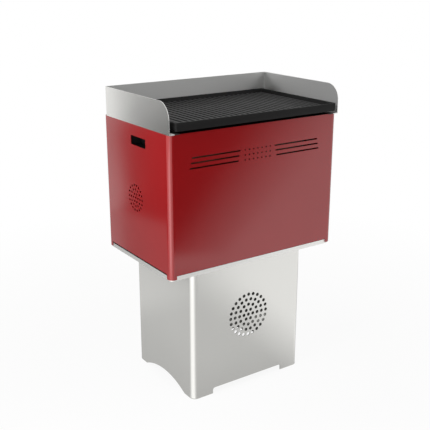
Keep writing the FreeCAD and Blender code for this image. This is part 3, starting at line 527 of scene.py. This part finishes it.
def domed_fasteners(name, socket_width):
    """A dome, a hexagon socket unless its width is nought, and a shank on every point."""
    growth = Growth(name, head_radius=HEAD_RADIUS, rise=HEAD_RISE, shank_radius=SHANK_RADIUS,
                    socket_width=socket_width, dome_share=0.8)
    columns = 33
    rows = 8
    weld = 0.005 * MM
    socket_floor = 0.45
    shank_sides = 16
    dome_share = growth.given("dome_share")

    def dome(x, y, z):
        turn = -TAU * (x + 0.5)
        along = y + 0.5
        arch = (along / dome_share).at_most(1.0) * (math.pi / 2)
        under = ((along - dome_share) / (1 - dome_share)).at_least(0.0)
        radius = growth.given("head_radius") * arch.sine() * (1 - under)
        return radius * turn.cosine(), radius * turn.sine(), growth.given("rise") * arch.cosine()

    grid = growth.node("GeometryNodeMeshGrid", None, {"Vertices X": columns, "Vertices Y": rows})
    head = growth.node("GeometryNodeMergeByDistance", None,
                       {"Geometry": growth.formed(grid, dome), "Distance": weld})
    if socket_width:
        hexagon = growth.node("GeometryNodeMeshCylinder", None, {
            "Vertices": 6, "Radius": growth.given("socket_width") / math.sqrt(3),
            "Depth": growth.given("rise")})
        lift = growth.given("rise") * (socket_floor + 0.5)
        tool = growth.formed(hexagon, lambda x, y, z: (x, y, z + lift))
        head = growth.node("GeometryNodeMeshBoolean", {"operation": "DIFFERENCE", "solver": "EXACT"},
                           {"Mesh 1": head, "Mesh 2": tool})
    rod = growth.node("GeometryNodeMeshCylinder", None, {
        "Vertices": shank_sides, "Radius": growth.given("shank_radius"), "Depth": 1.0})
    shank = growth.formed(rod, lambda x, y, z: (x, y, z - 0.5))
    turned = growth.node("FunctionNodeAlignRotationToVector", {"axis": "Z"},
                         {"Vector": growth.attribute("facing", "FLOAT_VECTOR")})
    stretch = growth.vector(X=1.0, Y=1.0, Z=growth.attribute("shank", "FLOAT"))
    start = growth.given("start")
    growth.close(growth.on_points(start, head, Rotation=turned),
                 growth.on_points(start, shank, Rotation=turned, Scale=stretch))
    return growth


def fasteners():
    """Screws and rivets with domed heads, one mesh for each body and kind."""
    screws = domed_fasteners("button_screws", SOCKET_WIDTH)
    rivets = domed_fasteners("dome_rivets", 0.0)
    groups = [
        ("casing_screw_set", "casing", screws, [("rear_panel_screws", BACK), ("guard_screws", UP)]),
        ("casing_rivet_set", "casing", rivets, [("hinge_rivets", BACK), ("guide_rivets", BACK)]),
        ("pedestal_screw_set", "pedestal", screws, [("pedestal_rear_screws", BACK)]),
        ("pull_screw_set", "drawer", screws, [("pull_screws", BACK)]),
    ]
    for name, body, growth, nodes in groups:
        mesh = growth.grow(fastener_points(nodes), FINISHES["zinc"])
        piece(name, mesh, body, "zinc", *(node for node, way in nodes))


# Griddle and knobs

def ring(half, front, rear, radius, level, steps=6):
    """The points of a level rectangle with round corners, anticlockwise seen from above."""
    middles = ((half - radius, rear - radius), (radius - half, rear - radius),
               (radius - half, front + radius), (half - radius, front + radius))
    points = []
    for corner, (x, y) in enumerate(middles):
        for step in range(steps + 1):
            turn = (corner + step / steps) * TAU / 4
            points.append((x + radius * math.cos(turn), y + radius * math.sin(turn), level))
    return points


def lofted(name, rings):
    """A closed mesh through rings of equal count, with a flat face on the first and the last."""
    cells = bmesh.new()
    loops = [[cells.verts.new(point) for point in points] for points in rings]
    for lower, upper in zip(loops, loops[1:]):
        for index, vert in enumerate(lower):
            after = (index + 1) % len(lower)
            cells.faces.new((vert, lower[after], upper[after], upper[index]))
    cells.faces.new(reversed(loops[0]))
    cells.faces.new(loops[-1])
    bmesh.ops.recalc_face_normals(cells, faces=cells.faces)
    mesh = bpy.data.meshes.new(name)
    cells.to_mesh(mesh)
    cells.free()
    return mesh


def griddle():
    """The cast griddle: a tray with a hollow underside, drafted walls and rounded edges, and its ribs."""
    low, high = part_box("griddle")
    rim = GRIDDLE_RIM
    draft = 0.8 * MM
    corner = 4 * MM
    hollow = 5.5 * MM
    edge_round = 0.7 * MM
    under = low.z + hollow
    floor = high.z - GRIDDLE_WELL
    half = high.x

    def level_ring(inset, level):
        return ring(half - inset, low.y + inset, high.y - inset, corner, level)

    tray = lofted("griddle_tray", [
        level_ring(rim + draft, under), level_ring(rim, low.z), level_ring(draft, low.z),
        level_ring(0, high.z), level_ring(rim - draft, high.z), level_ring(rim + draft, floor),
    ])
    gutter = 9 * MM
    width = 9 * MM
    growth = Growth("griddle_ribs", rib_count=29, rib_width=width, rib_height=3.5 * MM, rib_root=0.4 * MM,
                    rib_length=high.y - low.y - 2 * (rim + gutter),
                    rib_run=2 * (half - rim - gutter) - width, rib_taper=0.14, rib_end_slope=1.2 * MM)
    tall = growth.given("rib_height") + growth.given("rib_root")
    box_size = growth.vector(X=growth.given("rib_width"), Y=growth.given("rib_length"), Z=tall)
    bar = growth.node("GeometryNodeMeshCube", None, {"Size": box_size})

    def drafted(x, y, z):
        top = z / tall + 0.5
        shorter = 2 * growth.given("rib_end_slope") / growth.given("rib_length")
        return x * (1 - growth.given("rib_taper") * top), y * (1 - shorter * top), z

    rib = growth.formed(bar, drafted)
    pitch = growth.given("rib_run") / (growth.given("rib_count") - 1)
    first = growth.vector(X=growth.given("rib_run") * -0.5, Y=(low.y + high.y) / 2,
                          Z=floor - growth.given("rib_root") + tall / 2)
    row = growth.node("GeometryNodeMeshLine", None, {
        "Count": growth.given("rib_count"), "Start Location": first, "Offset": growth.vector(X=pitch)})
    growth.close(growth.given("start"), growth.on_points(row, rib))
    rough = bpy.data.objects.new("griddle_edges", growth.grow(tray, FINISHES["cast_iron"]))
    scene.collection.objects.link(rough)
    bevel = rough.modifiers.new("edges", "BEVEL")
    bevel.width = edge_round
    bevel.segments = 2
    bevel.angle_limit = math.radians(30)
    piece("griddle_casting", settled(rough), "griddle", "cast_iron", "griddle", crease=50)


def turned_knob(node, name, body):
    """A fluted knob on a neck that stands out to the rear."""
    low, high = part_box(node)
    centre = (low + high) / 2
    reach = high.y - low.y
    radius = (high.x - low.x) / 2
    neck = 4 * MM
    chamfer = 2 * MM
    dome = 1.2 * MM
    flutes = 12
    flute_depth = 1 * MM
    sides = 6 * flutes
    # Distance from the axis, distance from the panel, and whether the flutes cut it
    profile = [
        (neck, 0.0, False), (neck, neck, False), (radius - chamfer, neck, False),
        (radius, neck + chamfer, True), (radius, reach - 3 * MM, True),
        (radius - 0.7 * MM, reach - dome - 0.4 * MM, True), (radius - chamfer, reach - dome, False),
        (radius / 2, reach - 0.3 * MM, False), (0.8 * MM, reach, False),
    ]
    rings = []
    for wide, out, fluted in profile:
        points = []
        for side in range(sides):
            turn = TAU * side / sides
            depth = flute_depth / 2 * (1 + math.cos(flutes * turn)) if fluted else 0.0
            points.append((centre.x + (wide - depth) * math.cos(turn), low.y + out,
                           centre.z + (wide - depth) * math.sin(turn)))
        rings.append(points)
    piece(name, lofted(name, rings), body, "knob_plastic", node)


# Studio

WHITE = tone(1, 1, 1)
FLOOR_SIZE = 30.0
FLOOR_TONE = tone(0.9, 0.9, 0.9)
NEAR_GLOW = 0.92
SHADOW_REACH = 0.5
SHADOW_FADE = 1.3
SKY_FILL = 0.45

# Cards that only reflections show: outlines seen from above, bearings in degrees, and levels of light,
# where 1 is white, at shares of the way between two bearings
GROUND_OUTLINE = [(-1.3, -1.15), (1.1, -1.15), (1.1, 1.75), (-1.3, 1.75)]
GROUND_HEIGHT = 1 * MM
CORNER = (-0.195, -0.147)
CORNER_OUTLINE = [CORNER, (-0.08, -3.46), (-3.3, -3.46), (-3.3, 2.63)]
CORNER_HEIGHT = 2 * MM
CORNER_BEARINGS = (138.0, 272.0)
CORNER_NEAR_LEVELS = [(0.0, 0.64), (0.13, 0.84), (0.28, 1.26), (0.61, 1.3), (0.72, 1.12), (0.85, 0.77),
                      (1.0, 0.64)]
CORNER_FAR_LEVELS = [(0.0, 0.64), (0.13, 0.8), (0.33, 1.1), (0.44, 2.6), (0.60, 2.6), (0.71, 1.3),
                     (0.85, 0.9), (1.0, 0.64)]
NEAR_REACH = 1.1
NEAR_FADE = 0.2
FLAG_HEIGHT = 3 * MM
FRONT_FLAG_OUTLINE = [(0.6, -1.22), (-0.15, -1.55), (-0.15, -4.5), (3.0, -7.0), (7.0, -6.0)]
FRONT_FLAG_CORNER = (-2.07, 1.13)
FRONT_FLAG_BEARINGS = (314.0, 320.4)
FRONT_FLAG_LEVELS = [(0.0, 0.0), (1.0, 1.0)]
NEAR_FLAG_OUTLINE = [(0.74, 0.62), (0.76, 1.0), (1.0, 1.48), (1.12, 1.70), (1.22, 1.3), (1.3, 0.5)]
NEAR_FLAG_LEVEL = 0.30
FAR_FLAG_OUTLINE = [(1.12, 1.70), (1.33, 2.07), (1.95, 3.37), (2.3, 4.03), (5.0, 3.6), (4.0, 2.0),
                    (1.3, 0.5), (1.22, 1.3)]
FAR_FLAG_LEVEL = 0.02
TALL_FLAG_FOOT = [(2.31, 4.04), (5.5, 2.8)]
TALL_FLAG_TOP = 2.4
TALL_FLAG_LEVEL = 0.5


def studio_world():
    """White all round for what is seen, and softer for what it lights."""
    world = bpy.data.worlds.new("studio")
    world.use_nodes = True
    scene.world = world
    sky = Wiring(world.node_tree)
    sky.tree.nodes.clear()
    strength = SKY_FILL + (1 - SKY_FILL) * sky.seen()
    light = sky.node("ShaderNodeBackground", None, {"Color": WHITE, "Strength": strength})
    sky.node("ShaderNodeOutputWorld", None, {"Surface": light})


def floor_finish():
    """Pale floor that keeps the shadow near the grill and is seen plain white farther off."""
    finish = Finish("pale_floor")
    far_share = (finish.away_from((0, 0, 0)) - SHADOW_REACH).climb(SHADOW_FADE)
    matt = finish.node("ShaderNodeBsdfDiffuse", None, {"Color": FLOOR_TONE})
    glow = finish.node("ShaderNodeEmission", None, {"Color": WHITE, "Strength": 1.0})
    glow_share = (NEAR_GLOW + (1 - NEAR_GLOW) * far_share) * finish.seen()
    return finish.surface(finish.node("ShaderNodeMixShader", None, {0: glow_share, 1: matt, 2: glow}))


def studio_floor():
    half = FLOOR_SIZE / 2
    mesh = bpy.data.meshes.new("floor")
    mesh.from_pydata([(-half, -half, 0), (half, -half, 0), (half, half, 0), (-half, half, 0)], [], [range(4)])
    mesh.materials.append(floor_finish())
    floor = bpy.data.objects.new("floor", mesh)
    scene.collection.objects.link(floor)


def even_card(name, level):
    """A card of one level of light."""
    return Finish(name).glowing(color=WHITE, strength=level)


def ground_card(name):
    """A grey card that stands for the floor in reflections, with painted shade: dark inside the pedestal and a
    little darker at its foot, paler away from it and to the rear, white at its front right.
    """
    finish = Finish(name)
    x, y = finish.axes(finish.place)[:2]
    low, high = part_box("pedestal_wrap")
    foot_fade = 0.2
    foot_level = 0.9
    wall_fade = 0.01
    inner_shade = 0.93
    near_grey = 0.63
    rear_grey = 0.74
    rear_start = 0.42
    rear_slope = 0.6
    right_start = 0.12
    right_slant = 0.15
    right_fade = 0.24
    front_start = -0.1
    front_fade = 0.05
    # Painted shade of the floor: dark inside the pedestal and darker near its foot
    beside = (x.size() - high.x).at_least(low.y - y)
    from_foot = beside.climb(foot_fade)
    shut_in = beside.at_least(y - high.y).climb(-wall_fade)
    rearward = (y - rear_start).at_least(0.0)
    open_grey = (near_grey + rear_slope * rearward).at_most(rear_grey)
    grey = open_grey * (foot_level + (1 - foot_level) * from_foot)
    right = (x + right_slant * y - right_start).climb(right_fade)
    front = (front_start - y).climb(front_fade)
    return finish.glowing(color=(grey + (1 - grey) * right * front) * (1 - inner_shade * shut_in))


def fan_card(name, corner, bearings, near_levels, far_levels):
    """A card whose light changes with the bearing from a corner, near that corner and farther off."""
    finish = Finish(name)
    x, y = finish.axes(finish.place)[:2]
    start, end = bearings
    bearing = (corner[1] - y).angle(corner[0] - x) * (180 / math.pi) + 180
    turned = (bearing - start) / (end - start)
    far_share = (finish.away_from((*corner, 0)) - NEAR_REACH).climb(NEAR_FADE)

    def fan(levels):
        brightest = max(level for place, level in levels)
        greys = [(place, level / brightest) for place, level in levels]
        return brightest * finish.ramp(turned, [(place, tone(grey, grey, grey)) for place, grey in greys])

    near = fan(near_levels)
    return finish.glowing(color=near + (fan(far_levels) - near) * far_share)


def reflected_card(corners, finish):
    """A flat card that shows in reflections only."""
    mesh = bpy.data.meshes.new(finish.name)
    mesh.from_pydata(corners, [], [range(len(corners))])
    mesh.materials.append(finish)
    card = bpy.data.objects.new(finish.name, mesh)
    scene.collection.objects.link(card)
    card.visible_camera = False
    card.visible_diffuse = False
    card.visible_transmission = False
    card.visible_shadow = False


def at_height(outline, height, side=1):
    """The corners of an outline at this height, as it is or with left and right changed over."""
    return [(side * x, y, height) for x, y in outline]


def side_flags():
    """Grey and black cards beside the grill, alike on the left and the right."""
    near_finish = even_card("near_flag", NEAR_FLAG_LEVEL)
    far_finish = even_card("far_flag", FAR_FLAG_LEVEL)
    tall_finish = even_card("tall_flag", TALL_FLAG_LEVEL)
    for side in (-1, 1):
        foot = at_height(TALL_FLAG_FOOT, 0, side)
        top = at_height(reversed(TALL_FLAG_FOOT), TALL_FLAG_TOP, side)
        reflected_card(at_height(NEAR_FLAG_OUTLINE, FLAG_HEIGHT, side), near_finish)
        reflected_card(at_height(FAR_FLAG_OUTLINE, FLAG_HEIGHT, side), far_finish)
        reflected_card(foot + top, tall_finish)


def soft_light(name, place, aim, size, power):
    lamp = bpy.data.lights.new(name, "AREA")
    lamp.shape = "SQUARE"
    lamp.size = size
    lamp.energy = power
    made = bpy.data.objects.new(name, lamp)
    made.location = place
    made.rotation_euler = (Vector(aim) - Vector(place)).to_track_quat("-Z", "Y").to_euler()
    made.visible_glossy = False
    scene.collection.objects.link(made)


def studio():
    studio_world()
    studio_floor()
    reflected_card(at_height(GROUND_OUTLINE, GROUND_HEIGHT), ground_card("ground_card"))
    reflected_card(at_height(FRONT_FLAG_OUTLINE, FLAG_HEIGHT), fan_card(
        "front_flag", FRONT_FLAG_CORNER, FRONT_FLAG_BEARINGS, FRONT_FLAG_LEVELS, FRONT_FLAG_LEVELS))
    side_flags()
    reflected_card(at_height(CORNER_OUTLINE, CORNER_HEIGHT), fan_card(
        "corner_card", CORNER, CORNER_BEARINGS, CORNER_NEAR_LEVELS, CORNER_FAR_LEVELS))
    soft_light("key", place=(-1.0, -0.3, 0.9), aim=(-0.3, -0.6, 0.6), size=0.5, power=6.6)
    soft_light("top", place=(0.1, -0.2, 2.6), aim=(0, 0, 0.8), size=1.6, power=10)


# Camera

CAMERA_PLACE = Vector((-1.31452, -1.89842, 1.26544))
CAMERA_AZIMUTH = math.radians(34.270)
CAMERA_ELEVATION = math.radians(17.846)
PICTURE_WIDTH = 430
FOCAL_PIXELS = 763.13
SENSOR = 36.0


def camera():
    """The camera of the photograph's view, fitted to the part's edges."""
    lens = bpy.data.cameras.new("camera")
    lens.sensor_fit = "HORIZONTAL"
    lens.sensor_width = SENSOR
    lens.lens = SENSOR * FOCAL_PIXELS / PICTURE_WIDTH
    level = math.cos(CAMERA_ELEVATION)
    ahead = Vector((math.sin(CAMERA_AZIMUTH) * level, math.cos(CAMERA_AZIMUTH) * level,
                    -math.sin(CAMERA_ELEVATION)))
    made = bpy.data.objects.new("camera", lens)
    made.location = CAMERA_PLACE
    made.rotation_euler = ahead.to_track_quat("-Z", "Y").to_euler()
    scene.collection.objects.link(made)
    scene.camera = made


dress_nodes()
griddle()
fasteners()
turned_knob("flap_knob", "flap_knob_grip", "flap")
turned_knob("shutter_knob", "shutter_knob_grip", "shutter")
studio()
camera()
scene.view_settings.view_transform = "Standard"
